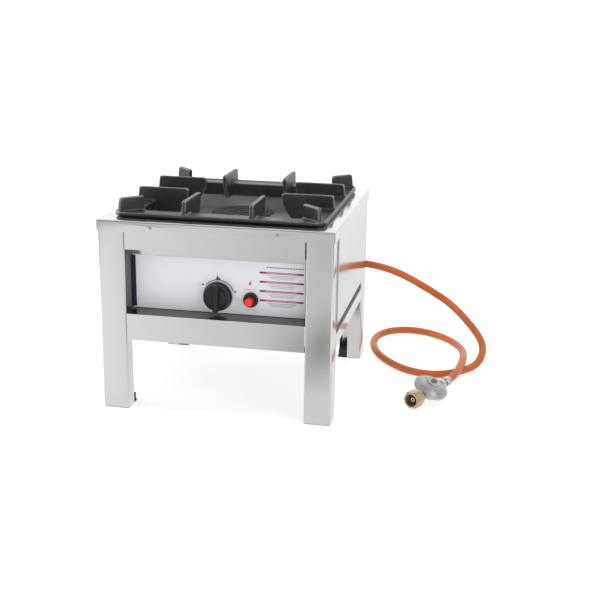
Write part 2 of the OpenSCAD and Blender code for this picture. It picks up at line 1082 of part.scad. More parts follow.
front_left_leg();
front_right_leg();
back_left_leg();
back_right_leg();
front_left_foot();
front_right_foot();
back_left_foot();
back_right_foot();
front_rail();
left_rail();
right_rail();
back_rail();
top_plate();
left_side_panel();
right_side_panel();
back_panel();
top_screws();
drip_tray();
pan_support();
control_panel();
fascia_label();
panel_screws();
gas_valve();
valve_plug();
valve_spindle();
gas_knob();
valve_screws();
igniter_housing();
igniter_nut();
igniter_button();
ignition_lead();
spark_electrode();
thermocouple();
thermocouple_lead();
sensor_bracket();
injector();
air_shutter();
burner_body();
burner_ring();
burner_cap();
burner_bracket();
bracket_screws();
inlet_bushing();
inlet_pipe();
pipe_nuts();
inlet_elbow();
inlet_ferrule();
gas_hose();
outlet_ferrule();
regulator_body();
regulator_diaphragm();
regulator_spring();
regulator_cover();
regulator_badge();
inlet_nipple();
nipple_seal();
union_nut();
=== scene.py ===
"""Looks of a free-standing gas boiling stove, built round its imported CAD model. Metres, +Z up."""
import math

import bmesh
import bpy
from mathutils import Matrix, Vector


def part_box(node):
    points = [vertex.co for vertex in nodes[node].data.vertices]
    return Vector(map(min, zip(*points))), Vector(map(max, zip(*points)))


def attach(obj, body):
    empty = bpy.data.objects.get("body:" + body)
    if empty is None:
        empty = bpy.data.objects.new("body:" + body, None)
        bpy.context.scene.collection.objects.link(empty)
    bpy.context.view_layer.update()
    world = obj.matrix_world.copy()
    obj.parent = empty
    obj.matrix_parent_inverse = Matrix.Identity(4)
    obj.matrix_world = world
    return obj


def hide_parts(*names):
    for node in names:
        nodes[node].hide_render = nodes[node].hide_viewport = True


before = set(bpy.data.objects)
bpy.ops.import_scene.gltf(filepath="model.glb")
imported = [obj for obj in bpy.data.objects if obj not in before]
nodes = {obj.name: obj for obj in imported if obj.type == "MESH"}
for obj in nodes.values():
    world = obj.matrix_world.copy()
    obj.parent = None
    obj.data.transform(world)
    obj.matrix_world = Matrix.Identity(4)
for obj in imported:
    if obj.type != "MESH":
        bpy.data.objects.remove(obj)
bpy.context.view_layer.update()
mm = 0.001
WHITE = (1, 1, 1, 1)
BLACK = (0, 0, 0, 1)

# ---------------------------------------------------------------- camera

CAMERA_TARGET = Vector((0.106, -0.001, 0.157))
CAMERA_AZIMUTH = math.radians(10.97)
CAMERA_ELEVATION = math.radians(16.16)
CAMERA_ROLL = math.radians(0.84)
CAMERA_DISTANCE = 1.964
CAMERA_LENS = 65.1
CAMERA_SENSOR = 36
CAMERA_SEES_TO = 50


def make_camera():
    """The camera at the photograph's place, level but for a slight roll."""
    flat = math.cos(CAMERA_ELEVATION)
    aside, ahead = math.sin(CAMERA_AZIMUTH), math.cos(CAMERA_AZIMUTH)
    back = Vector((aside * flat, -ahead * flat, math.sin(CAMERA_ELEVATION)))
    data = bpy.data.cameras.new("camera")
    data.lens = CAMERA_LENS
    data.sensor_width = CAMERA_SENSOR
    data.clip_end = CAMERA_SEES_TO
    camera = bpy.data.objects.new("camera", data)
    bpy.context.scene.collection.objects.link(camera)
    camera.rotation_mode = "QUATERNION"
    turn = (-back).to_track_quat("-Z", "Y")
    roll = Matrix.Rotation(CAMERA_ROLL, 3, "Z").to_quaternion()
    camera.rotation_quaternion = turn @ roll
    camera.location = CAMERA_TARGET + back * CAMERA_DISTANCE
    bpy.context.scene.camera = camera


make_camera()

# ---------------------------------------------------------------- materials

# Bands of a noise pattern's values.
NEARLY_ALL = (0.3, 0.7)
MIDDLING = (0.35, 0.65)
SPECKS = (0.62, 0.75)
MORE_SPECKS = (0.6, 0.75)

# The band of an edge pattern's values.
EDGES = (0, 1)

# The colour sockets of a Mix node, by number.
MIX_A, MIX_B, MIX_RESULT = 6, 7, 2


class Nodes:
    """A node tree under construction: add nodes, link them, set their sockets."""

    def __init__(self, tree):
        self.tree = tree

    def node(self, kind, inputs=None, **settings):
        """A new node, its inputs set to values or linked to sockets."""
        made = self.tree.nodes.new("ShaderNode" + kind)
        for key, value in settings.items():
            setattr(made, key, value)
        for key, value in (inputs or {}).items():
            self.put(made.inputs[key], value)
        return made

    def put(self, socket, value):
        if isinstance(value, bpy.types.NodeSocket):
            self.tree.links.new(value, socket)
        else:
            socket.default_value = value

    def calc(self, operation, *values, **settings):
        """One step of arithmetic on sockets or numbers."""
        return self.node("Math", dict(enumerate(values)), operation=operation, **settings).outputs[0]

    def spread(self, value, low, high, out_low, out_high):
        """value from low..high, spread over out_low..out_high."""
        inputs = {"Value": value, "From Min": low, "From Max": high, "To Min": out_low, "To Max": out_high}
        return self.node("MapRange", inputs).outputs["Result"]

    def axes(self, vector):
        """The X, Y and Z sockets of a vector."""
        return self.node("SeparateXYZ", {"Vector": vector}).outputs


class Shader(Nodes):
    """A material under construction, round its main shader. Keyword sockets are set straight on that."""

    def __init__(self, name, **sockets):
        self.material = bpy.data.materials.new(name)
        self.material.use_nodes = True
        super().__init__(self.material.node_tree)
        self.main = self.tree.nodes["Principled BSDF"]
        for socket, value in sockets.items():
            self.main.inputs[socket.replace("_", " ")].default_value = value
        self.place = self.node("TexCoord").outputs["Object"]

    def stretched(self, scale):
        """The place on the object, scaled along X, Y and Z."""
        return self.node("Mapping", {"Vector": self.place, "Scale": scale}).outputs["Vector"]

    def noise(self, scale, detail=4.0, rough=0.55, stretch=None):
        """A cloudy pattern; scale is about its number of patches per metre."""
        where = self.stretched(stretch) if stretch else self.place
        inputs = {"Vector": where, "Scale": scale, "Detail": detail, "Roughness": rough}
        return self.node("TexNoise", inputs).outputs["Fac"]

    def edge(self, low=0.505, high=0.56):
        """1 on sharp outer edges, 0 elsewhere."""
        pointed = self.node("NewGeometry").outputs["Pointiness"]
        return self.spread(pointed, low, high, 0, 1)

    def blend(self, share, a, b):
        """Colour a where share is 0, b where it is 1."""
        made = self.node("Mix", {"Factor": share, MIX_A: a, MIX_B: b}, data_type="RGBA")
        return made.outputs[MIX_RESULT]

    def tint(self, pattern, a, b, band=MIDDLING, most=1):
        """Colour a that turns to b as the pattern rises through band, up to a share of most."""
        return self.blend(self.spread(pattern, *band, 0, most), a, b)

    def bump(self, height, strength, distance, under=None):
        """Relief of a height pattern, up to distance high, over the relief under it."""
        inputs = {"Height": height, "Strength": strength, "Distance": distance}
        if under:
            inputs["Normal"] = under
        return self.node("Bump", inputs).outputs["Normal"]

    def colour(self, value):
        self.put(self.main.inputs["Base Color"], value)

    def rough(self, value):
        self.put(self.main.inputs["Roughness"], value)

    def rough_by(self, pattern, low, high):
        """Roughness from low to high, as the pattern rises."""
        self.rough(self.spread(pattern, *NEARLY_ALL, low, high))

    def normal(self, value):
        self.put(self.main.inputs["Normal"], value)


def rgb(red, green, blue):
    """An opaque colour."""
    return (red, green, blue, 1)


def lighter(colour, gain, more=0.0):
    """A lighter shade of a colour, for worn edges."""
    return rgb(*(min(1.0, c * gain + more) for c in colour[:3]))


STREAKS_ACROSS = 1600.0
STREAKS_ALONG = 8.0
STEEL_LIGHT = 0.62
STEEL_ROUGH = 0.13


def brushed_steel(name, grain, metal=0.9):
    """Brushed stainless sheet, its grain along the axis whose number is grain."""
    s = Shader(name, Metallic=metal)
    stretch = [STREAKS_ACROSS, STREAKS_ACROSS, STREAKS_ACROSS]
    stretch[grain] = STREAKS_ALONG
    streaks = s.noise(1.0, 2.0, 0.6, tuple(stretch))
    cloud = s.noise(7.0, 3.0)
    dark = rgb(STEEL_LIGHT - 0.012, STEEL_LIGHT - 0.012, STEEL_LIGHT - 0.016)
    bright = rgb(STEEL_LIGHT + 0.012, STEEL_LIGHT + 0.012, STEEL_LIGHT + 0.008)
    hazy = rgb(STEEL_LIGHT + 0.015, STEEL_LIGHT + 0.014, STEEL_LIGHT + 0.008)
    tone = s.tint(streaks, dark, bright, NEARLY_ALL)
    s.colour(s.tint(cloud, tone, hazy, most=0.6))
    smear = s.spread(cloud, *NEARLY_ALL, STEEL_ROUGH - 0.025, STEEL_ROUGH + 0.035)
    fine = s.spread(streaks, 0.2, 0.8, -0.03, 0.04)
    s.rough(s.calc("ADD", smear, fine))
    s.normal(s.bump(streaks, 0.035, 0.1 * mm))
    return s.material


HEAT_STAIN = (50 * mm, 120 * mm)


def tray_steel():
    """Pressed and polished tray steel, with heat clouds near the flame."""
    s = Shader("tray_steel", Metallic=0.82)
    cloud = s.noise(16.0, 2.0)
    fine = s.noise(900.0, 2.0)
    from_axis = s.node("VectorMath", {0: s.stretched((1.0, 1.0, 0.0))}, operation="LENGTH").outputs["Value"]
    stain = s.spread(from_axis, *HEAT_STAIN, 0.55, 0)
    tone = s.blend(stain, rgb(0.72, 0.72, 0.71), rgb(0.42, 0.36, 0.28))
    s.colour(s.tint(cloud, tone, rgb(0.56, 0.56, 0.555), (0.35, 0.7), 0.3))
    s.rough_by(cloud, 0.13, 0.19)
    s.normal(s.bump(s.noise(12.0, 2.0), 0.25, 2 * mm, s.bump(fine, 0.02, 0.1 * mm)))
    return s.material


def zinc_steel():
    """Zinc-plated steel with a faint spangle."""
    s = Shader("zinc_steel", Metallic=1.0)
    spangle = s.node("TexVoronoi", {"Vector": s.place, "Scale": 160.0}).outputs["Distance"]
    s.colour(s.blend(s.noise(40.0), rgb(0.46, 0.46, 0.45), rgb(0.6, 0.6, 0.58)))
    s.rough(s.spread(spangle, 0.0, 0.8, 0.3, 0.48))
    s.normal(s.bump(spangle, 0.1, 0.4 * mm))
    return s.material


# Heights over which the edge wear and painted highlight set in and the painted shade on the rim gives out,
# and distances from the middle over which the border's outer rim, with its painted shade, starts.
WEAR_AND_HIGHLIGHT_ABOVE = (334 * mm, 336.5 * mm)
RIM_SHADE_REACH = (172 * mm, 175 * mm)


def cast_iron():
    """Dark satin enamel on a sand casting: greyer on its upper edges, partly wear and partly painted
    highlight, and near black with painted shade on the lower part of its outer rim.
    """
    s = Shader("cast_iron", Metallic=0.8)
    grain = s.noise(1500.0, 3.0, 0.6)
    lumps = s.noise(140.0, 4.0, 0.6)
    cloud = s.noise(18.0, 4.0)
    base = s.tint(cloud, rgb(0.070, 0.070, 0.072), rgb(0.090, 0.090, 0.092))
    base = s.tint(grain, base, rgb(0.13, 0.13, 0.132), SPECKS, 0.4)
    place = s.axes(s.place)
    upper = s.spread(place["Z"], *WEAR_AND_HIGHLIGHT_ABOVE, 0, 1)
    # Painted shade: the border's outer rim, below the worn height, turns near black.
    reach = s.calc("MAXIMUM", s.calc("ABSOLUTE", place["X"]), s.calc("ABSOLUTE", place["Y"]))
    rim = s.spread(reach, *RIM_SHADE_REACH, 0, 1)
    under = s.calc("SUBTRACT", rim, upper, use_clamp=True)
    base = s.blend(under, base, rgb(0.018, 0.018, 0.019))
    # Lighter upper edges: partly wear, partly painted highlight.
    wear_and_highlight = s.calc("MULTIPLY", s.edge(0.51, 0.57), s.spread(lumps, *NEARLY_ALL, 0.4, 1.0))
    s.colour(s.blend(s.calc("MULTIPLY", wear_and_highlight, upper), base, rgb(0.46, 0.46, 0.46)))
    s.rough_by(lumps, 0.33, 0.46)
    s.normal(s.bump(grain, 0.25, 0.15 * mm, s.bump(lumps, 0.2, 0.4 * mm)))
    return s.material


def burner_iron():
    """Sooty, rough iron round the flame, its sharp edges lighter with a painted highlight."""
    s = Shader("burner_iron", Specular_IOR_Level=0.12)
    lumps = s.noise(260.0, 4.0, 0.6)
    soot = s.tint(s.noise(30.0, 4.0), rgb(0.013, 0.0125, 0.012), rgb(0.027, 0.025, 0.023))
    # Painted highlight: lighter grey on sharp edges, such as the cap's rings.
    s.colour(s.blend(s.edge(0.52, 0.6), soot, rgb(0.30, 0.29, 0.28)))
    s.rough_by(lumps, 0.55, 0.72)
    s.normal(s.bump(lumps, 0.3, 0.3 * mm))
    return s.material


def moulded(name, dark, bright, rough, grain=1400.0, depth=0.06 * mm, gloss=0.5):
    """Moulded plastic or rubber with a fine spark-eroded grain."""
    s = Shader(name, Specular_IOR_Level=gloss)
    fine = s.noise(grain, 2.0)
    tone = s.tint(s.noise(60.0, 3.0), dark, bright, NEARLY_ALL)
    s.colour(s.tint(s.edge(), tone, lighter(bright, 1.6, 0.01), EDGES, 0.35))
    s.rough_by(fine, rough - 0.04, rough + 0.05)
    s.normal(s.bump(fine, 0.3, depth))
    return s.material


def label_film():
    """Pale lilac-grey printed film with a faint sheen and dust."""
    s = Shader("label_film", Specular_IOR_Level=0.5)
    cloud = s.noise(14.0, 3.0)
    dust = s.noise(900.0, 2.0)
    tone = s.tint(cloud, rgb(0.70, 0.695, 0.73), rgb(0.73, 0.725, 0.76))
    s.colour(s.tint(dust, tone, rgb(0.58, 0.58, 0.61), SPECKS, 0.25))
    s.rough_by(cloud, 0.3, 0.38)
    s.normal(s.bump(dust, 0.05, 0.05 * mm))
    return s.material


def ink(name, colour):
    """Screen-printed ink: slightly uneven in cover and gloss."""
    s = Shader(name)
    cover = s.noise(700.0, 3.0)
    s.colour(s.tint(cover, colour, lighter(colour, 1.25, 0.02), (0.4, 0.7), 0.7))
    s.rough_by(cover, 0.35, 0.5)
    return s.material


def turned_metal(name, dark, bright, rough):
    """Machined or drawn metal with a tarnished cloud and fine tool marks."""
    s = Shader(name, Metallic=1.0)
    cloud = s.noise(90.0, 4.0, 0.6)
    tone = s.tint(cloud, dark, bright, NEARLY_ALL)
    s.colour(s.tint(s.edge(), tone, lighter(bright, 1.25), EDGES, 0.6))
    s.rough_by(cloud, rough - 0.05, rough + 0.08)
    s.normal(s.bump(s.noise(2200.0, 2.0), 0.08, 0.05 * mm))
    return s.material


def zinc_casting():
    """Blasted zinc die casting: a satin grain over soft clouds."""
    s = Shader("zinc_casting", Metallic=0.85)
    grain = s.noise(1700.0, 3.0)
    tone = s.tint(s.noise(70.0, 3.0), rgb(0.36, 0.365, 0.365), rgb(0.44, 0.445, 0.445), NEARLY_ALL)
    s.colour(s.tint(s.edge(), tone, rgb(0.78, 0.78, 0.77), EDGES, 0.6))
    s.rough_by(grain, 0.33, 0.43)
    s.normal(s.bump(grain, 0.25, 0.1 * mm))
    return s.material


def hose_rubber():
    """Orange gas-hose rubber: slightly uneven, with a chalky bloom and a soft sheen."""
    s = Shader("hose_rubber", Specular_IOR_Level=0.28)
    cloud = s.noise(26.0, 4.0)
    fine = s.noise(1300.0, 3.0)
    tone = s.tint(cloud, rgb(0.43, 0.095, 0.019), rgb(0.50, 0.12, 0.028))
    s.colour(s.tint(fine, tone, rgb(0.62, 0.26, 0.13), MORE_SPECKS, 0.3))
    s.rough_by(cloud, 0.30, 0.40)
    s.normal(s.bump(fine, 0.2, 0.08 * mm, s.bump(s.noise(160.0, 2.0), 0.15, 0.4 * mm)))
    return s.material


def glazed_ceramic():
    """Speckled ceramic under a thin glaze."""
    s = Shader("ceramic", Coat_Weight=0.4)
    speck = s.noise(800.0, 2.0)
    s.colour(s.tint(speck, rgb(0.8, 0.78, 0.72), rgb(0.55, 0.5, 0.42), MORE_SPECKS, 0.5))
    s.rough_by(speck, 0.2, 0.3)
    return s.material


X, Y, Z = 0, 1, 2
steel_x = brushed_steel("brushed_steel_across", X)
steel_y = brushed_steel("brushed_steel_deep", Y)
steel_z = brushed_steel("brushed_steel_upright", Z)
zinc = zinc_steel()
tray = tray_steel()
rail_steel = brushed_steel("brushed_steel_rail", Y, metal=0.55)
iron = cast_iron()
burner = burner_iron()
black = moulded("black_plastic", rgb(0.009, 0.009, 0.010), rgb(0.014, 0.014, 0.015), 0.30, gloss=0.32)
foot_black = moulded("foot_plastic", rgb(0.018, 0.018, 0.018), rgb(0.03, 0.03, 0.03), 0.55, grain=900.0)
# Near black for the painted shade laid over the control recess.
recess_shade_black = moulded("recess_painted_shade", rgb(0.012, 0.012, 0.013), rgb(0.02, 0.02, 0.02), 0.16,
                      grain=500.0, depth=0.02 * mm)
red = moulded("red_plastic", rgb(0.84, 0.018, 0.018), rgb(0.92, 0.03, 0.026), 0.24)
film = label_film()
red_ink = ink("red_ink", rgb(0.33, 0.028, 0.07))
navy_ink = ink("navy_ink", rgb(0.012, 0.012, 0.035))
grey_ink = ink("grey_ink", rgb(0.41, 0.41, 0.46))
wine_ink = ink("wine_ink", rgb(0.13, 0.012, 0.03))
# Dark grey for the painted shade at the label's ends.
painted_shade_ink = ink("painted_shade_ink", rgb(0.035, 0.038, 0.042))
brass = turned_metal("brass", rgb(0.30, 0.215, 0.13), rgb(0.48, 0.36, 0.23), 0.17)
# A darker copy of the brass: painted shade for the thread inside the nut's bore.
thread_brass_shaded = turned_metal("thread_brass_shaded", rgb(0.12, 0.085, 0.05), rgb(0.20, 0.15, 0.09), 0.4)
copper = turned_metal("copper", rgb(0.55, 0.27, 0.16), rgb(0.68, 0.36, 0.22), 0.3)
plated = turned_metal("ferrule_steel", rgb(0.46, 0.46, 0.455), rgb(0.60, 0.60, 0.59), 0.2)
casting = zinc_casting()
rubber = hose_rubber()
seal_rubber = moulded("black_rubber", rgb(0.015, 0.015, 0.015), rgb(0.03, 0.03, 0.03), 0.6)
badge = moulded("badge_film", rgb(0.015, 0.045, 0.036), rgb(0.025, 0.065, 0.052), 0.3)
ceramic = glazed_ceramic()

# The CAD nodes of each material.
LOOKS = {
    steel_z: ["front_left_leg", "front_right_leg", "back_left_leg", "back_right_leg"],
    steel_x: ["front_rail", "back_rail", "top_plate", "control_panel", "back_panel"],
    steel_y: ["left_side_panel", "right_side_panel"],
    rail_steel: ["left_rail", "right_rail"],
    tray: ["drip_tray"],
    foot_black: ["front_left_foot", "front_right_foot", "back_left_foot", "back_right_foot"],
    zinc: ["top_screws", "panel_screws", "valve_screws", "bracket_screws", "sensor_bracket",
           "burner_bracket", "igniter_nut", "air_shutter", "valve_spindle", "regulator_spring"],
    iron: ["pan_support"],
    burner: ["burner_body", "burner_ring", "burner_cap"],
    film: ["fascia_label"],
    brass: ["gas_valve", "valve_plug", "injector", "inlet_bushing", "pipe_nuts", "inlet_elbow",
            "inlet_nipple", "union_nut"],
    copper: ["thermocouple", "thermocouple_lead", "inlet_pipe"],
    black: ["gas_knob", "igniter_housing"],
    red: ["igniter_button"],
    ceramic: ["spark_electrode"],
    rubber: ["gas_hose"],
    plated: ["inlet_ferrule", "outlet_ferrule"],
    casting: ["regulator_body", "regulator_cover"],
    badge: ["regulator_badge"],
    seal_rubber: ["regulator_diaphragm", "nipple_seal", "ignition_lead"],
}

# ---------------------------------------------------------------- mesh helpers

CAST_ANGLE = 60
ROUNDING_SHARE = 0.45


def smooth_shading(mesh, angle):
    """Shades mesh smoothly, but for edges sharper than angle, in degrees."""
    for polygon in mesh.polygons:
        polygon.use_smooth = True
    mesh.set_sharp_from_angle(angle=math.radians(angle))


def add_object(name, data):
    """A new object in the scene."""
    made = bpy.data.objects.new(name, data)
    bpy.context.scene.collection.objects.link(made)
    return made


def add_piece(name, mesh, body, material, stands_for=()):
    """A new piece that rides on a body."""
    piece = add_object(name, mesh)
    mesh.materials.clear()
    mesh.materials.append(material)
    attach(piece, body)
    if stands_for:
        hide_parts(*stands_for)
    return piece


def applied(mesh, steps):
    """mesh with modifiers applied; each step is (modifier type, {setting: value})."""
    worker = add_object("worker", mesh)
    for kind, settings in steps:
        modifier = worker.modifiers.new(kind.lower(), kind)
        for key, value in settings.items():
            setattr(modifier, key, value)
    view = bpy.context.evaluated_depsgraph_get()
    made = bpy.data.meshes.new_from_object(worker.evaluated_get(view))
    bpy.data.objects.remove(worker)
    return made


def cast(mesh, voxel, rounds, keep, first=()):
    """mesh melted into one skin with its edges and corners rounded off, then thinned out."""
    steps = [
        *first,
        ("REMESH", {"mode": "VOXEL", "voxel_size": voxel}),
        ("SMOOTH", {"factor": 0.5, "iterations": rounds}),
        ("DECIMATE", {"ratio": keep}),
    ]
    made = applied(mesh, steps)
    smooth_shading(made, CAST_ANGLE)
    return made


def add_ring_wall(bm, rings):
    """Faces between neighbouring rings of vertices; a ring of one vertex is a pole."""
    for a, b in zip(rings, rings[1:]):
        count = max(len(a), len(b))
        for i in range(count):
            corners = [a[i % len(a)], a[(i + 1) % len(a)], b[(i + 1) % len(b)], b[i % len(b)]]
            unique = list(dict.fromkeys(corners))
            if len(unique) > 2:
                bm.faces.new(unique)


def turns(count):
    """Evenly spaced angles, once round."""
    return [2 * math.pi * i / count for i in range(count)]


def add_ring(bm, r, h, place, count):
    """Vertices round the Z axis of place, or one on the axis where the radius is 0."""
    if r == 0:
        return [bm.verts.new(place @ Vector((0, 0, h)))]
    return [bm.verts.new(place @ Vector((r * math.cos(a), r * math.sin(a), h))) for a in turns(count)]


def add_lathe(bm, profile, place, segments=96):
    """A closed solid of revolution. Its profile, (radius, height), runs from pole to pole or is a loop."""
    rings = [add_ring(bm, r, h, place, segments) for r, h in profile]
    if profile[0][0] > 0:
        rings.append(rings[0])
    add_ring_wall(bm, rings)


def rounded(profile, radius, steps=4):
    """profile with its inner corners rounded to radius."""
    made = [profile[0]]
    for before, corner, after in zip(profile, profile[1:], profile[2:]):
        c = Vector(corner)
        to_a, to_b = Vector(before) - c, Vector(after) - c
        reach = min(radius, to_a.length * ROUNDING_SHARE, to_b.length * ROUNDING_SHARE)
        start, end = c + to_a.normalized() * reach, c + to_b.normalized() * reach
        for i in range(steps + 1):
            t = i / steps
            point = start * (1 - t) ** 2 + c * (2 * t * (1 - t)) + end * t ** 2
            made.append((point.x, point.y))
    made.append(profile[-1])
    return made


def closed_mesh(bm):
    """The mesh of bm, its faces turned outwards."""
    bmesh.ops.recalc_face_normals(bm, faces=bm.faces)
    mesh = bpy.data.meshes.new("mesh")
    bm.to_mesh(mesh)
    bm.free()
    return mesh


def finished(bm, angle=35):
    """The mesh of bm, sharp only at edges over angle."""
    mesh = closed_mesh(bm)
    smooth_shading(mesh, angle)
    return mesh


def facing(direction, at):
    """Places a shape built along +Z so that it points along direction, at a point."""
    return Matrix.Translation(at) @ Vector(direction).to_track_quat("Z", "Y").to_matrix().to_4x4()


def middle(node):
    """The middle of a CAD node's box."""
    low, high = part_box(node)
    return (low + high) / 2


FRONT = Vector((0, -1, 0))

# ---------------------------------------------------------------- gas hose

HOSE_RADIUS = 7 * mm

# Points in millimetres that steer the hose's curve, from the stool to the regulator, as in the CAD source.
HOSE_GUIDE = [
    (150, 222, 177), (186, 222, 177), (226, 222, 172), (268, 221, 160),
    (318, 219, 134), (367, 212, 109), (402, 215, 72), (426, 201, 49),
    (438, 173, 31), (428, 141, 8), (396, 104, 7.5), (365, 76, 7.5),
    (326, 73, 7.5), (288, 92, 7.5), (254, 130, 7.5), (228, 175, 7.5),
    (213, 227, 7.5), (212, 274, 7.5), (226, 312, 7.5), (254, 336, 7.5),
    (290, 341, 7.5), (326, 326, 7.5), (360, 296, 8), (386, 252, 9),
    (398, 196, 14), (399, 142, 21), (398, 100, 23.5), (394, 68, 23.5),
    (388, 40, 21), (378, 15, 19), (366, -10, 19),
]


def hose_route(steps=6):
    """Points of the smooth curve that the guide points steer, in metres."""
    guide = [Vector(p) * mm for p in HOSE_GUIDE]
    guide = [2 * guide[0] - guide[1], *guide, 2 * guide[-1] - guide[-2]]
    route = []
    for a, b, c, d in zip(guide, guide[1:], guide[2:], guide[3:]):
        for i in range(steps):
            t = i / steps
            first, last = (1 - t) ** 3, t**3
            second = 3 * t**3 - 6 * t**2 + 4
            third = -3 * t**3 + 3 * t**2 + 3 * t + 1
            route.append((a * first + b * second + c * third + d * last) / 6)
    return [*route, guide[-2]]


def add_hose():
    """The hose, a round tube along its route."""
    route = hose_route()
    data = bpy.data.curves.new("gas_hose_rubber", "CURVE")
    data.dimensions = "3D"
    data.bevel_depth = HOSE_RADIUS
    data.bevel_resolution = 8
    data.use_fill_caps = True
    spline = data.splines.new("POLY")
    spline.points.add(len(route) - 1)
    for point, place in zip(spline.points, route):
        point.co = (*place, 1)
    data.materials.append(rubber)
    hose = add_object("gas_hose_rubber", data)
    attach(hose, "stove")
    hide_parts("gas_hose")
    return hose


hose = add_hose()

# ---------------------------------------------------------------- CAD nodes that stay

WELD_WITHIN = 0.01 * mm
BEVEL_OVER = 34
BEVEL_SEGMENTS = 2
SHEET_EDGE = 0.35 * mm
FINE_EDGE = 0.25 * mm
ROUND_ALREADY = {"gas_hose", "regulator_spring", "ignition_lead", "thermocouple_lead"}


def soften(node, width):
    """Rounds the sharp edges of a CAD node with modifiers, so that they catch the light."""
    piece = nodes[node]
    mesh = piece.data
    if mesh.attributes.get("custom_normal"):
        mesh.attributes.remove(mesh.attributes["custom_normal"])
    for polygon in mesh.polygons:
        polygon.use_smooth = True
    if mesh.attributes.get("sharp_edge"):
        mesh.attributes.remove(mesh.attributes["sharp_edge"])
    weld = piece.modifiers.new("weld", "WELD")
    weld.merge_threshold = WELD_WITHIN
    bevel = piece.modifiers.new("bevel", "BEVEL")
    bevel.width = width
    bevel.segments = BEVEL_SEGMENTS
    bevel.limit_method = "ANGLE"
    bevel.angle_limit = math.radians(BEVEL_OVER)
    bevel.use_clamp_overlap = True
    bevel.harden_normals = True


def finish_cad_nodes():
    """Gives each CAD node its material, and all but the round wires soft edges."""
    for material, names in LOOKS.items():
        for name in names:
            slots = nodes[name].data.materials
            slots.clear()
            slots.append(material)
    wide = LOOKS[steel_x] + LOOKS[steel_y] + LOOKS[steel_z] + LOOKS[burner]
    for name in nodes:
        if name not in ROUND_ALREADY:
            soften(name, SHEET_EDGE if name in wide else FINE_EDGE)


finish_cad_nodes()

# ---------------------------------------------------------------- pan support


def add_pan_support():
    """The casting: the CAD shape with every edge rounded and every inner corner filleted."""
    weld = ("WELD", {"merge_threshold": WELD_WITHIN})
    source = nodes["pan_support"].data.copy()
    mesh = cast(source, voxel=1.25 * mm, rounds=5, keep=0.35, first=[weld])
    add_piece("pan_support_casting", mesh, "pan_support", iron, ["pan_support"])


add_pan_support()

# ---------------------------------------------------------------- burner cap


def add_burner_cap():
    """The cap: a dished middle and an outer ring, its edges lit by painted highlight, above a thin
    chamfered rim, on a short skirt.
    """
    low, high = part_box("burner_cap")
    r = (high.x - low.x) / 2 / mm
    outline = [
        (0, 7.6), (13, 7.6), (14.5, 8.9), (18, 9), (19.5, 7.9), (37, 7.3), (38.5, 8.5), (42, 8.4),
        (43.5, 7.1), (r - 3, 6.5), (r - 0.8, 6), (r, 5), (r - 3, 3), (36, 3), (36, 0), (30, 0),
        (30, 3.5), (0, 3.5),
    ]
    bm = bmesh.new()
    place = Matrix.Translation(((low.x + high.x) / 2, (low.y + high.y) / 2, low.z)) @ Matrix.Scale(mm, 4)
    add_lathe(bm, rounded(outline, 0.7), place, 128)
    add_piece("burner_cap_casting", finished(bm, angle=50), "burner_cap", burner, ["burner_cap"])


add_burner_cap()

# ---------------------------------------------------------------- knob and igniter


def box_mesh(bm, low, high, place):
    """A box between two corners, placed by a matrix."""
    made = bmesh.ops.create_cube(bm, size=1)
    size = Vector(high) - Vector(low)
    centre = (Vector(high) + Vector(low)) / 2
    shape = Matrix.Translation(centre) @ Matrix.Diagonal((*size, 1))
    bmesh.ops.transform(bm, matrix=place @ shape, verts=made["verts"])


def knob_place():
    """The knob's own frame: its axis along Z towards the front, its back at z = 0."""
    low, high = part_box("gas_knob")
    return facing(FRONT, (middle("gas_knob").x, high.y, middle("gas_knob").z))


def add_grip(bm, half, reach, bottom, top, place):
    """The knob's grip bar: a chamfered section drawn out along Y, drawn in a little at its ends."""
    bevel = 1.5 * mm
    end_width = 0.86
    section = [(-half, bottom), (-half, top - bevel), (bevel - half, top), (half - bevel, top),
               (half, top - bevel), (half, bottom)]
    rings = []
    for y, narrow in ((-reach, end_width), (bevel - reach, 1), (reach - bevel, 1), (reach, end_width)):
        rings.append([bm.verts.new(place @ Vector((x * narrow, y, z))) for x, z in section])
    bm.faces.new(rings[0])
    bm.faces.new(rings[-1][::-1])
    add_ring_wall(bm, rings)


def add_knob():
    """Skirt, round dial and a grip bar left standing between two scooped halves, hollow at the back."""
    low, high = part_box("gas_knob")
    r = (high.x - low.x) / 2
    depth = high.y - low.y
    dial = r - 2.6 * mm
    rim = depth - 4 * mm
    scoop = rim - 2.4 * mm
    bore = 4.02 * mm
    hollow_r, hollow = r - 6 * mm, 4.1 * mm
    outline = [
        (bore, hollow), (hollow_r, hollow), (hollow_r, 0), (r, 0),
        (r, 1.8 * mm), (dial + 0.5 * mm, 6 * mm), (dial, 7.5 * mm), (dial - 0.4 * mm, rim - 1.4 * mm),
        (dial - 1.4 * mm, rim), (dial - 2.6 * mm, rim - 0.4 * mm), (r - 9 * mm, scoop),
        (bore, scoop - 0.8 * mm),
    ]
    bm = bmesh.new()
    add_lathe(bm, outline, knob_place(), 160)
    add_grip(bm, 5 * mm, r - 2.2 * mm, hollow + 2 * mm, depth, knob_place())
    mesh = cast(closed_mesh(bm), voxel=0.4 * mm, rounds=3, keep=0.4)
    add_piece("knob_moulding", mesh, "knob", black, ["gas_knob"])


add_knob()

# ---------------------------------------------------------------- printed label

PRINT_T = 0.12 * mm
label_low, label_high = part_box("fascia_label")
LABEL_Y = label_low.y
DIAL = middle("gas_knob")
SPARK = middle("igniter_housing")


def add_flat(bm, outline, lift=PRINT_T):
    """A thin printed shape on the label; outline is its (x, z) points."""
    front = [bm.verts.new((x, LABEL_Y - lift, z)) for x, z in outline]
    back = [bm.verts.new((x, LABEL_Y, z)) for x, z in outline]
    bm.faces.new(front)
    bm.faces.new(back[::-1])
    add_ring_wall(bm, [front, back])


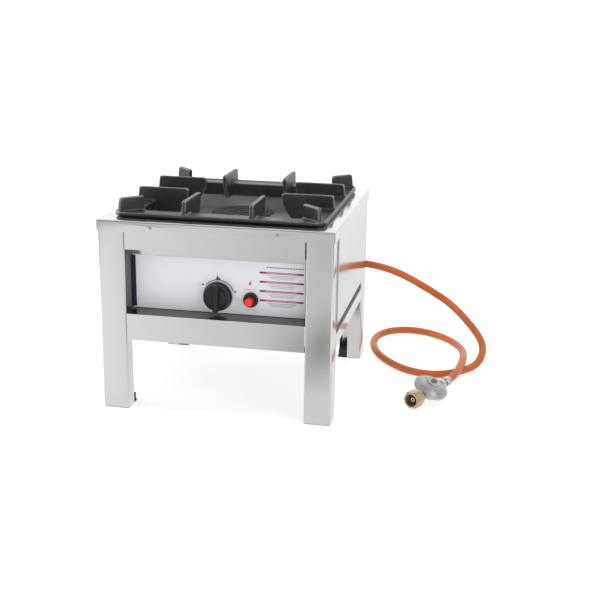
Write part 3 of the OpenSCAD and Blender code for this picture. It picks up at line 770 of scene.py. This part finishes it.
def on_circle(x, z, radius, angle):
    """The point of a circle round (x, z) at an angle from +X."""
    return (x + radius * math.cos(angle), z + radius * math.sin(angle))


def add_rectangle(bm, x0, x1, z0, z1):
    """A printed rectangle with square corners."""
    add_flat(bm, [(x0, z0), (x1, z0), (x1, z1), (x0, z1)])


def add_bar(bm, x0, x1, z, height, lift=PRINT_T):
    """A straight printed bar with round ends."""
    r = height / 2
    points = []
    for x, start in ((x1 - r, -90), (x0 + r, 90)):
        points += [on_circle(x, z, r, math.radians(start + 30 * i)) for i in range(7)]
    add_flat(bm, points, lift)


def add_dashes(bm, x, stop, z, length, pitch, height, lift=PRINT_T):
    """A row of bars from x on, each starting before stop."""
    while x < stop:
        add_bar(bm, x, x + length, z, height, lift)
        x += pitch


def add_arc(bm, x, z, radius, width, start, end):
    """A printed arc with square ends, the angles in degrees from +X."""
    count = 40
    angles = [math.radians(start + (end - start) * i / count) for i in range(count + 1)]
    outer = [on_circle(x, z, radius + width / 2, a) for a in angles]
    inner = [on_circle(x, z, radius - width / 2, a) for a in reversed(angles)]
    add_flat(bm, outer + inner)


def add_disc(bm, x, z, radius):
    """A printed dot."""
    add_flat(bm, [on_circle(x, z, radius, math.radians(15 * i)) for i in range(24)])


def add_flame(bm, x, z, size):
    """A plain flame mark: a teardrop with a smaller one beside it."""
    for dx, scale in ((0, 1.0), (0.42 * size, 0.55)):
        points = []
        for t in turns(24):
            width = 0.34 * scale * size * math.sin(t) * (1 - math.cos(t)) / 1.3
            points.append((x + dx + width, z + scale * size * 0.5 * (1 + math.cos(t))))
        add_flat(bm, points)


def add_bolt(bm, x, z, size):
    """A plain spark mark."""
    shape = [(0.1, 1), (-0.3, 0.42), (-0.02, 0.42), (-0.16, 0), (0.3, 0.6), (0.02, 0.6), (0.26, 1)]
    add_flat(bm, [(x + px * size, z + pz * size) for px, pz in shape])


def add_print(name, material, draw):
    """All the print of one ink, as one piece."""
    bm = bmesh.new()
    draw(bm)
    add_piece(name, finished(bm), "stove", material)


RED_ROWS = [246.2 * mm, 230.5 * mm, 214.4 * mm, 198.5 * mm]
RED_X = (67.5 * mm, 142.9 * mm)
RED_HEIGHT = 3.4 * mm
BAND_X = (147.4 * mm, 160.5 * mm)
OVERPRINT_T = 1.4 * PRINT_T


def draw_red(bm):
    """Four red bars, and the flame and spark marks over the controls."""
    for z in RED_ROWS:
        add_bar(bm, *RED_X, z, RED_HEIGHT)
    add_flame(bm, DIAL.x - 1.5 * mm, DIAL.z + 27.6 * mm, 8 * mm)
    add_bolt(bm, SPARK.x - 1.5 * mm, SPARK.z + 22 * mm, 11 * mm)


def draw_navy(bm):
    """Dark end bands, the dial's arc and its marks, and a heading of plain dashes."""
    bottom, top = label_low.z + 2 * mm, label_high.z - 1.5 * mm
    for side in (-1, 1):
        add_rectangle(bm, *sorted(side * x for x in BAND_X), bottom, top)
    add_arc(bm, DIAL.x, DIAL.z, 27.4 * mm, 1.3 * mm, 20, 142)
    add_disc(bm, DIAL.x + 28.8 * mm, DIAL.z + 8.5 * mm, 1.7 * mm)
    add_disc(bm, DIAL.x - 27 * mm, DIAL.z + 18 * mm, 1.6 * mm)
    heading = (RED_X[0] + 12.5 * mm, RED_X[1] - 2 * mm)
    add_dashes(bm, *heading, z=255.6 * mm, length=3.1 * mm, pitch=4.9 * mm, height=2.1 * mm)


def draw_wine(bm):
    """Dark ends of the red bars."""
    inset, height = 0.2 * mm, 3.2 * mm
    for z in RED_ROWS:
        add_bar(bm, RED_X[0] + inset, RED_X[0] + 7 * mm, z, height, OVERPRINT_T)
        add_bar(bm, RED_X[1] - 8 * mm, RED_X[1] - inset, z, height, OVERPRINT_T)


def draw_painted_shade(bm):
    """Dark grey painted shade outside the navy bands, at the label's ends."""
    bottom, top = label_low.z + 0.3 * mm, label_high.z - 0.3 * mm
    add_rectangle(bm, label_low.x + 0.2 * mm, -BAND_X[1], bottom, top)
    add_rectangle(bm, BAND_X[1], label_high.x - 0.2 * mm, bottom, top)


def draw_pale(bm):
    """Pale dashes along the middle of the red bars."""
    start, stop = RED_X[0] + 12 * mm, RED_X[1] - 14 * mm
    for z in RED_ROWS:
        add_dashes(bm, start, stop, z, length=4 * mm, pitch=5.2 * mm, height=0.9 * mm, lift=OVERPRINT_T)


# Lines of small print, in millimetres: how far over the middle each is, and half its length.
BLOCK_LINES = ((-4.4, 25), (-6.9, 22), (-9.4, 19))
SPARK_LINES = ((17.5, 10.5), (14.9, 6.5), (-17.5, 9))

# Lines beside the dial, in millimetres: how far under its middle each is, and its length.
DIAL_LINES = ((1.5, 8), (4.4, 12), (7.2, 9))
DIAL_LINES_AT = 28


def add_centred_lines(bm, x, z, lines, height):
    for rise, half in lines:
        add_bar(bm, x - half * mm, x + half * mm, z + rise * mm, height)


def draw_grey(bm):
    """Blocks of plain lines below each red bar, and short ones by the controls."""
    for z in RED_ROWS:
        add_centred_lines(bm, sum(RED_X) / 2 + 1 * mm, z, BLOCK_LINES, 1.5 * mm)
    add_bar(bm, DIAL.x - 36 * mm, DIAL.x - 30 * mm, DIAL.z + 17.6 * mm, 1 * mm)
    for drop, length in DIAL_LINES:
        start, end = DIAL.x + DIAL_LINES_AT * mm, DIAL.x + (DIAL_LINES_AT + length) * mm
        add_bar(bm, start, end, DIAL.z - drop * mm, 1 * mm)
    add_centred_lines(bm, SPARK.x, SPARK.z, SPARK_LINES, 1.1 * mm)


add_print("label_red_marks", red_ink, draw_red)
add_print("label_dark_marks", navy_ink, draw_navy)
add_print("label_grey_marks", grey_ink, draw_grey)
add_print("label_pale_marks", film, draw_pale)
add_print("label_wine_marks", wine_ink, draw_wine)
# The dark grey bands at the label's ends are painted shade.
add_print("label_painted_shade_bands", painted_shade_ink, draw_painted_shade)


def add_recess_painted_shade():
    """Painted shade: thin glossy black sheets on the control recess's floor and cheeks, and on its panel
    beside the label, where the recess lies in shade.
    """
    rail_low, rail_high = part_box("front_rail")
    panel_low, panel_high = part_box("control_panel")
    leg_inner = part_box("front_right_leg")[0].x
    flap_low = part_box("top_plate")[0].z
    thick, gap = 0.3 * mm, 0.2 * mm
    floor_top = rail_high.z + thick
    front = rail_low.y + 2.2 * mm
    bm = bmesh.new()

    def line(x0, x1, y0, y1, z0, z1):
        box_mesh(bm, (x0, y0, z0), (x1, y1, z1), Matrix.Identity(4))

    line(rail_low.x + 0.5 * mm, rail_high.x - 0.5 * mm, front, LABEL_Y, rail_high.z, floor_top)
    for side, outer, inner in ((-1, panel_low.x, label_low.x), (1, label_high.x, panel_high.x)):
        end = (outer + gap, inner - gap)
        line(*end, panel_low.y - thick, panel_low.y, floor_top, panel_high.z)
        above = sorted((side * 153 * mm, side * (label_high.x - 0.4 * mm)))
        line(*above, panel_low.y - thick, panel_low.y, label_high.z + 0.1 * mm, panel_high.z)
        cheek = sorted((side * (leg_inner - thick), side * (leg_inner - 0.02 * mm)))
        line(*cheek, front, LABEL_Y - gap, floor_top, flap_low + 14 * mm)
    add_piece("recess_painted_shade", finished(bm), "stove", recess_shade_black)


add_recess_painted_shade()

# ---------------------------------------------------------------- regulator, hose end and union nut

# The regulator's place in millimetres and its turn and roll in degrees, as in the CAD source.
REG_AT = (349, -44, 19)
REG_HEADING = 64
REG_ROLL = 24
FERRULE_START = 38.2


def in_regulator():
    """The regulator's own frame in millimetres: outlet along +X, cover along +Z."""
    heading = Matrix.Rotation(math.radians(REG_HEADING), 4, "Z")
    roll = Matrix.Rotation(math.radians(REG_ROLL), 4, "X")
    return Matrix.Translation(Vector(REG_AT) * mm) @ (heading @ roll) @ Matrix.Scale(mm, 4)


def along(x=0):
    """The frame of a ring round the regulator's outlet axis, its height along +X from x."""
    return in_regulator() @ Matrix.Translation((x, 0, 0)) @ Matrix.Rotation(math.pi / 2, 4, "Y")


def add_cover():
    """The regulator's cover: a crimped double lip, a low dome and a stepped boss round the badge."""
    inner_r, span = 14, 13.2
    foot, rise = 12.2, 7.6
    steps = 12
    dome = []
    for i in range(steps + 1):
        r = 27.2 - span * i / steps
        dome.append((r, foot + rise * (1 - ((r - inner_r) / span) ** 1.7)))
    outline = [
        (0, 15), (12, 14.5), (24.6, 9.6), (27.05, 8.4), (27.05, 8), (30.4, 8), (30.9, 8.7),
        (30.9, 9.7), (30.2, 10.3), (29.6, 10.35), (29.6, 11.2), (29, 11.9), (28.2, 12), (27.8, 11.6),
        *dome,
        (12.9, 20), (12.5, 22), (12, 22.45), (10, 22.45), (9.6, 22.1), (0, 22.1),
    ]
    bm = bmesh.new()
    add_lathe(bm, rounded(outline, 0.35, 3), in_regulator(), 128)
    return add_piece("regulator_cover_dome", finished(bm, angle=40), "stove", casting,
                     ["regulator_cover"])


def add_oval(name, scale, base, top, material, stands_for=()):
    """A raised oval on the boss of the cover."""
    bm = bmesh.new()
    shape = in_regulator() @ Matrix.Diagonal((8.2 * scale, 5.8 * scale, 1, 1))
    add_lathe(bm, [(0, base), (1, base), (1, top - 0.25), (0.96, top), (0, top)], shape, 72)
    return add_piece(name, finished(bm, angle=50), "stove", material, stands_for)


def add_hose_end():
    """The crimped ferrule: rolled ends and two crimp grooves, and a row of inspection slots shown only as
    thin dark plates of painted shade.
    """
    outline = [
        (7.7, 0), (8.3, 0), (8.4, 0.4), (8.4, 6), (7.9, 7), (7.9, 8.6), (8.4, 9.6), (8.4, 15.6),
        (9.2, 16.4), (9.2, 20), (8.7, 20.8), (8.7, 22.4), (9.2, 23.2), (9.2, 27), (8.9, 27.8),
        (7.75, 28.2),
    ]
    bm = bmesh.new()
    add_lathe(bm, rounded(outline, 0.3, 3) + [(7.7, 28.1)], along(FERRULE_START), 96)
    ferrule = add_piece("outlet_ferrule_crimped", finished(bm, angle=40), "stove", plated,
                        ["outlet_ferrule"])
    # Painted shade: dark plates where the slots' openings lie in shade.
    bm = bmesh.new()
    for turn in range(0, 360, 60):
        spin = Matrix.Rotation(math.radians(turn), 4, "X")
        for x in (FERRULE_START + 9.8, FERRULE_START + 13):
            box_mesh(bm, (x, -2.1, 7.8), (x + 1.8, 2.1, 8.5), in_regulator() @ spin)
    slots = add_piece("outlet_ferrule_slot_shade", finished(bm), "stove", seal_rubber)
    return [ferrule, slots]


def add_nut_thread():
    """The thread inside the union nut: sharp rings, closed outside by a thin wall."""
    pitch, crest, root, wall = 1.5, 10.15, 10.85, 10.88
    start, end = -59.6, -47
    outline = []
    x = start
    while x < end:
        outline += [(root, x), (root, x + 0.2), (crest, x + 0.7), (crest, x + 0.95)]
        x += pitch
    outline += [(root, x), (wall, x), (wall, start)]
    bm = bmesh.new()
    add_lathe(bm, outline, along(), 96)
    # The darker brass is painted shade inside the bore.
    return add_piece("union_nut_thread", finished(bm, angle=25), "union_nut", thread_brass_shaded)


add_cover()
add_oval("badge_oval", 1.0, 22.12, 22.9, badge, ["regulator_badge"])
add_oval("badge_rim", 1.12, 22.1, 22.7, casting)
add_hose_end()
add_nut_thread()

# ---------------------------------------------------------------- screws

HEAD_R = 3.2 * mm
HEAD_RISE = 1.6 * mm
CROSS_HALF = 0.32 * mm
CROSS_FLANK = 0.18 * mm
CROSS_REACH = 1.75 * mm
CROSS_DEPTH = 0.95 * mm
SHANK_R = 2 * mm
SHANK_LENGTH = 5 * mm


def add_screw_heads():
    """The cross-recessed pan heads that hold the top to the front and back."""
    bm = bmesh.new()
    low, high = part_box("top_screws")
    z = (low.z + high.z) / 2
    for x in (low.x + HEAD_R, high.x - HEAD_R):
        for y, way in ((low.y + HEAD_RISE, -1), (high.y - HEAD_RISE, 1)):
            add_cross_head(bm, facing((0, way, 0), (x, y, z)))
    add_piece("top_screw_heads", finished(bm, angle=50), "stove", plated, ["top_screws"])


def cross_depth(x, y):
    """How deep the cross recess is at a point of the head."""
    def slot(along_it, across_it):
        flank = max(0.0, 1 - max(0.0, abs(across_it) - CROSS_HALF) / CROSS_FLANK)
        return flank * (abs(along_it) < CROSS_REACH)
    return max(slot(x, y), slot(y, x)) * CROSS_DEPTH


def add_cross_head(bm, place):
    """A domed head with a tapered cross recess, on a short shank."""
    steps, count = 14, 64
    rings = []
    for i in range(steps + 1):
        share = i / steps
        dome = HEAD_RISE * math.sqrt(max(0.0, 1 - 0.8 * share**4)) if share < 1 else 0.25 * HEAD_RISE
        ring = []
        for a in turns(count if i else 1):
            x, y = HEAD_R * share * math.cos(a), HEAD_R * share * math.sin(a)
            ring.append(bm.verts.new(place @ Vector((x, y, dome - cross_depth(x, y)))))
        rings.append(ring)
    rings.append(add_ring(bm, HEAD_R, 0, place, count))
    rings.append(add_ring(bm, SHANK_R, 0, place, count))
    rings.append(add_ring(bm, SHANK_R, -SHANK_LENGTH, place, count))
    rings.append(add_ring(bm, 0, -SHANK_LENGTH, place, count))
    add_ring_wall(bm, rings)


add_screw_heads()

# ---------------------------------------------------------------- stage and light

FLOOR_SIZE = 12
BACKDROP_LIGHT = 1.05
FLOOR_GLOW = 0.70

# Each row: a coordinate or distance from, to, and the light there, from, to.
CARD_DEPTH = (-1.4, -0.3, 0.9, 1.22)
CARD_SIDE = (-0.75, -0.05, 1.24, 0.76)
CARD_BESIDE = (0.35, 0.8, 0, 0.5)
CARD_FADE = (0.7, 1.2, 1, 0.4)
CARD_SHADE = (0, 0.3, 0.3, 1)
CARD_SHADE_AT = (0.12, -0.62)
CARD_SHADE_SQUEEZE = 2
ROOM_DEPTH = (-0.9, 0.6, 0.3, 1.25)
ROOM_FLANK = (0.55, 1.0, 1.0, 0.5)


def add_plane(name, height):
    """A level square of the stage."""
    mesh = bpy.data.meshes.new(name)
    signs = ((-1, -1), (1, -1), (1, 1), (-1, 1))
    corners = [(FLOOR_SIZE * x, FLOOR_SIZE * y, height) for x, y in signs]
    mesh.from_pydata(corners, [], [(0, 1, 2, 3)])
    plane = add_object(name, mesh)
    return plane


def add_floor():
    """The white floor that the camera sees, which polished metal doesn't."""
    floor = add_plane("floor", 0)
    floor.visible_glossy = False
    s = Shader("floor", Roughness=0.9, Specular_IOR_Level=0.1, Emission_Color=WHITE,
               Emission_Strength=FLOOR_GLOW)
    s.colour(s.blend(s.noise(30.0, 3.0), rgb(0.43, 0.43, 0.43), rgb(0.45, 0.45, 0.45)))
    floor.data.materials.append(s.material)


def add_floor_card():
    """The card that polished metal sees in the floor's place, lit unevenly like a studio floor."""
    card = add_plane("floor_card", -1 * mm)
    card.visible_camera = False
    card.visible_diffuse = False
    card.visible_shadow = False
    s = Shader("floor_card", Roughness=1.0, Specular_IOR_Level=0.0, Base_Color=BLACK, Emission_Color=WHITE)
    place = s.axes(s.place)
    depth = s.spread(place["Y"], *CARD_DEPTH)
    side = s.spread(place["X"], *CARD_SIDE)
    beside = s.spread(place["X"], *CARD_BESIDE)
    squeezed = s.stretched((CARD_SHADE_SQUEEZE, 1, 0))
    heart = (CARD_SHADE_AT[0] * CARD_SHADE_SQUEEZE, CARD_SHADE_AT[1], 0)
    away = s.node("VectorMath", {0: squeezed, 1: heart}, operation="DISTANCE").outputs["Value"]
    light = s.calc("MULTIPLY", s.calc("MULTIPLY", depth, side), s.spread(away, *CARD_SHADE))
    light = s.calc("ADD", light, beside)
    fade = s.spread(s.calc("ABSOLUTE", place["X"]), *CARD_FADE)
    s.put(s.main.inputs["Emission Strength"], s.calc("MULTIPLY", light, fade))
    card.data.materials.append(s.material)


def add_light(name, place, size, power, glossy=True):
    """A soft rectangular light that faces the object."""
    data = bpy.data.lights.new(name, "AREA")
    data.shape = "RECTANGLE"
    data.size, data.size_y = size
    data.energy = power
    light = add_object(name, data)
    light.visible_glossy = glossy
    light.location = place
    light.rotation_mode = "QUATERNION"
    light.rotation_quaternion = (LIGHTS_AIM - Vector(place)).to_track_quat("-Z", "Y")


def add_world():
    """White behind the object for the camera; in reflections a room, dark at its front and its sides."""
    world = bpy.data.worlds.new("studio")
    bpy.context.scene.world = world
    world.use_nodes = True
    world.node_tree.nodes.clear()
    w = Nodes(world.node_tree)
    way = w.axes(w.node("TexCoord").outputs["Generated"])
    depth = w.spread(way["Y"], *ROOM_DEPTH)
    flank = w.spread(w.calc("ABSOLUTE", way["X"]), *ROOM_FLANK)
    room = w.node("Background", {"Color": WHITE, "Strength": w.calc("MULTIPLY", depth, flank)})
    backdrop = w.node("Background", {"Color": WHITE, "Strength": BACKDROP_LIGHT})
    seen = w.node("LightPath").outputs["Is Camera Ray"]
    mix = w.node("MixShader", {0: seen, 1: room.outputs[0], 2: backdrop.outputs[0]})
    w.node("OutputWorld", {"Surface": mix.outputs[0]})


add_floor()
add_floor_card()
add_world()
LIGHTS_AIM = Vector((0.05, 0, 0.2))
add_light("overhead", (0.1, 0.2, 2.4), (2.2, 1.8), 20, glossy=False)
add_light("front_fill", (0.3, -2.2, 0.5), (2.0, 1.0), 16, glossy=False)
add_light("left_softbox", (-2.1, 0.0, 0.85), (1.4, 1.1), 22)
add_light("right_softbox", (1.9, -1.6, 1.2), (1.0, 1.0), 12)
bpy.context.scene.view_settings.view_transform = "Standard"
